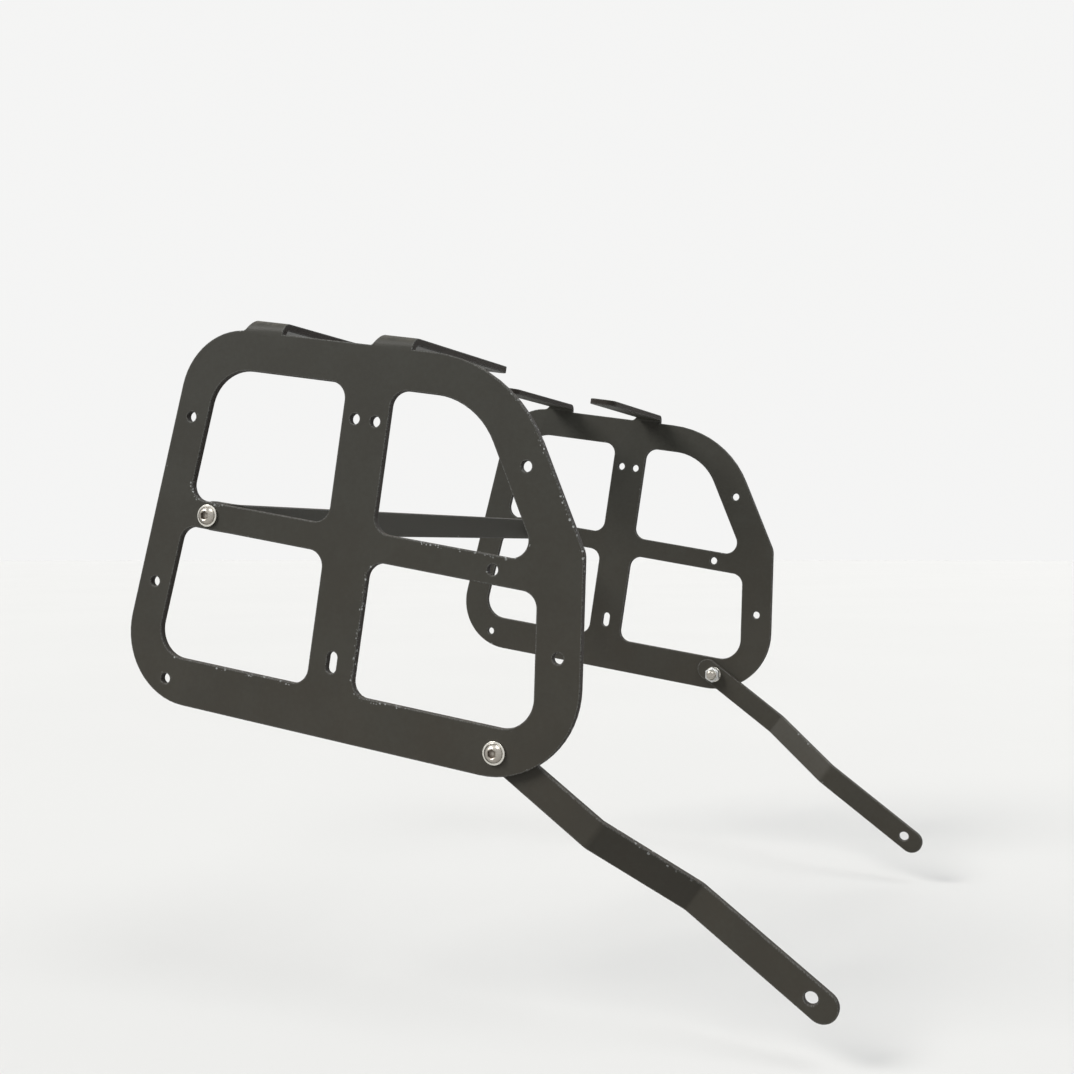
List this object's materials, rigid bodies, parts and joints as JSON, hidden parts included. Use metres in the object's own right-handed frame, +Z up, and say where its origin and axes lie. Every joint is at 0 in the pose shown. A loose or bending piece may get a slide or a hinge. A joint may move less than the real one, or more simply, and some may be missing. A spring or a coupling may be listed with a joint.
{
  "type": "motorcycle pannier frame",
  "caption": "Motorcycle pannier frame: flat side plates with windows and fixing holes, joined by a rear cross brace, with tongues turned inboard and cranked lower struts.",
  "frame": {"origin": "middle of the rear cross brace's flat rear face", "axes": "+X forward on the machine, +Y to the rider's left and +Z up; the plates and the brace are raked 8.8 degrees, so the crossbars fall towards the front"},
  "size_m": [0.4776, 0.58, 0.435],
  "materials": {
    "powder_coat": "textured satin",
    "stainless_steel": "satin",
    "zinc_plated_steel": "satin",
    "white_nylon": "matt"
  },
  "bodies": {
    "root": {"right_side_plate": "powder_coat", "left_side_plate": "powder_coat", "rear_cross_brace": "powder_coat", "right_strut": "powder_coat", "left_strut": "powder_coat", "right_brace_screw": "stainless_steel", "right_brace_outer_washer": "stainless_steel", "right_brace_inner_washer": "stainless_steel", "right_brace_nut": "zinc_plated_steel", "right_brace_nut_ring": "white_nylon", "right_strut_screw": "stainless_steel", "right_strut_outer_washer": "stainless_steel", "right_strut_inner_washer": "stainless_steel", "right_strut_nut": "zinc_plated_steel", "right_strut_nut_ring": "white_nylon", "left_brace_screw": "stainless_steel", "left_brace_outer_washer": "stainless_steel", "left_brace_inner_washer": "stainless_steel", "left_brace_nut": "zinc_plated_steel", "left_brace_nut_ring": "white_nylon", "left_strut_screw": "stainless_steel", "left_strut_outer_washer": "stainless_steel", "left_strut_inner_washer": "stainless_steel", "left_strut_nut": "zinc_plated_steel", "left_strut_nut_ring": "white_nylon"}
  },
  "joints": []
}
